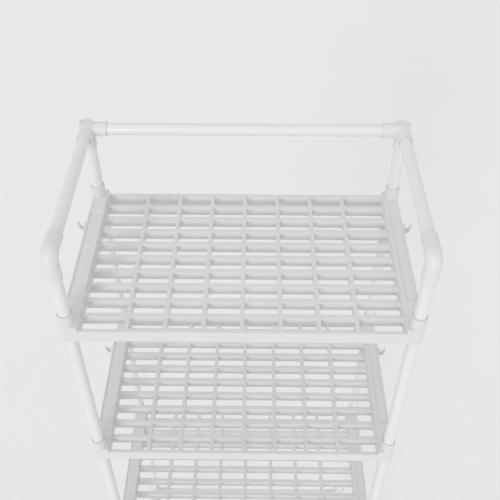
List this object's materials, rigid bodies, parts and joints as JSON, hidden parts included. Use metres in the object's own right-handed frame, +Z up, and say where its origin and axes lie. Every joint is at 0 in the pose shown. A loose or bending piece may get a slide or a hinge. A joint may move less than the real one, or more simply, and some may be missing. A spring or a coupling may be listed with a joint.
{
  "type": "over the toilet storage rack",
  "caption": "Tall open rack that stands over a toilet, with grid shelves in a tube frame, a guard rail round the top shelf, side hooks and screw-levelled feet.",
  "frame": {"origin": "on the floor, under the middle of the rack's footprint", "axes": "+Z up, +X to the right seen from the open front, -Y towards the user; the crossbars and the wall are at +Y"},
  "size_m": [0.547, 0.32, 1.593],
  "materials": {
    "shelf_plastic": "satin",
    "connector_plastic": "satin",
    "tube_coating": "satin white coating",
    "hook_plastic": "satin",
    "screw_steel": "zinc plated",
    "pad_rubber": "matte"
  },
  "bodies": {
    "frame": {"shelf_bottom": "shelf_plastic", "shelf_middle": "shelf_plastic", "shelf_top": "shelf_plastic", "guard_post_front_left": "tube_coating", "guard_post_front_right": "tube_coating", "guard_post_rear_left": "tube_coating", "guard_post_rear_right": "tube_coating", "upper_post_front_left": "tube_coating", "upper_post_front_right": "tube_coating", "upper_post_rear_left": "tube_coating", "upper_post_rear_right": "tube_coating", "lower_post_front_left": "tube_coating", "lower_post_front_right": "tube_coating", "lower_post_rear_left": "tube_coating", "lower_post_rear_right": "tube_coating", "leg_upper_front_left": "tube_coating", "leg_upper_front_right": "tube_coating", "leg_upper_rear_left": "tube_coating", "leg_upper_rear_right": "tube_coating", "leg_lower_front_left": "tube_coating", "leg_lower_front_right": "tube_coating", "leg_lower_rear_left": "tube_coating", "leg_lower_rear_right": "tube_coating", "guard_rail_rear": "tube_coating", "guard_rail_left": "tube_coating", "guard_rail_right": "tube_coating", "guard_tee_left": "connector_plastic", "guard_tee_cap_left": "connector_plastic", "guard_elbow_left": "connector_plastic", "guard_tee_right": "connector_plastic", "guard_tee_cap_right": "connector_plastic", "guard_elbow_right": "connector_plastic", "brace_connector_front_left": "connector_plastic", "brace_connector_front_right": "connector_plastic", "brace_connector_rear_left": "connector_plastic", "brace_connector_rear_right": "connector_plastic", "brace_bar_rear": "tube_coating", "brace_bar_left": "tube_coating", "brace_bar_right": "tube_coating", "hook_bottom_left": "hook_plastic", "hook_bottom_right": "hook_plastic", "hook_middle_left": "hook_plastic", "hook_middle_right": "hook_plastic", "hook_top_left": "hook_plastic", "hook_top_right": "hook_plastic", "foot_cap_front_left": "connector_plastic", "foot_cap_front_right": "connector_plastic", "foot_cap_rear_left": "connector_plastic", "foot_cap_rear_right": "connector_plastic"},
    "pad_front_left": {"foot_pad_front_left": "pad_rubber"},
    "screw_front_left": {"foot_screw_front_left": "screw_steel"},
    "pad_front_right": {"foot_pad_front_right": "pad_rubber"},
    "screw_front_right": {"foot_screw_front_right": "screw_steel"},
    "pad_rear_left": {"foot_pad_rear_left": "pad_rubber"},
    "screw_rear_left": {"foot_screw_rear_left": "screw_steel"},
    "pad_rear_right": {"foot_pad_rear_right": "pad_rubber"},
    "screw_rear_right": {"foot_screw_rear_right": "screw_steel"}
  },
  "joints": [
    {"name": "foot_slide_front_left", "type": "slide", "parent": "frame", "child": "pad_front_left", "axis": [0, 0, -1], "range_m": [0, 0.0122]},
    {"name": "foot_turn_front_left", "type": "hinge", "parent": "pad_front_left", "child": "screw_front_left", "pos_m": [-0.2485, -0.143, 0.02], "axis": [0, 0, -1], "range_deg": [0, 3456]},
    {"name": "foot_slide_front_right", "type": "slide", "parent": "frame", "child": "pad_front_right", "axis": [0, 0, -1], "range_m": [0, 0.0122]},
    {"name": "foot_turn_front_right", "type": "hinge", "parent": "pad_front_right", "child": "screw_front_right", "pos_m": [0.2485, -0.143, 0.02], "axis": [0, 0, -1], "range_deg": [0, 3456]},
    {"name": "foot_slide_rear_left", "type": "slide", "parent": "frame", "child": "pad_rear_left", "axis": [0, 0, -1], "range_m": [0, 0.0122]},
    {"name": "foot_turn_rear_left", "type": "hinge", "parent": "pad_rear_left", "child": "screw_rear_left", "pos_m": [-0.2485, 0.143, 0.02], "axis": [0, 0, -1], "range_deg": [0, 3456]},
    {"name": "foot_slide_rear_right", "type": "slide", "parent": "frame", "child": "pad_rear_right", "axis": [0, 0, -1], "range_m": [0, 0.0122]},
    {"name": "foot_turn_rear_right", "type": "hinge", "parent": "pad_rear_right", "child": "screw_rear_right", "pos_m": [0.2485, 0.143, 0.02], "axis": [0, 0, -1], "range_deg": [0, 3456]}
  ],
  "couplings": [
    {"joint": "foot_slide_front_left", "follows": "foot_turn_front_left", "m_per_rad": 0.00019894},
    {"joint": "foot_slide_front_right", "follows": "foot_turn_front_right", "m_per_rad": 0.00019894},
    {"joint": "foot_slide_rear_left", "follows": "foot_turn_rear_left", "m_per_rad": 0.00019894},
    {"joint": "foot_slide_rear_right", "follows": "foot_turn_rear_right", "m_per_rad": 0.00019894}
  ]
}
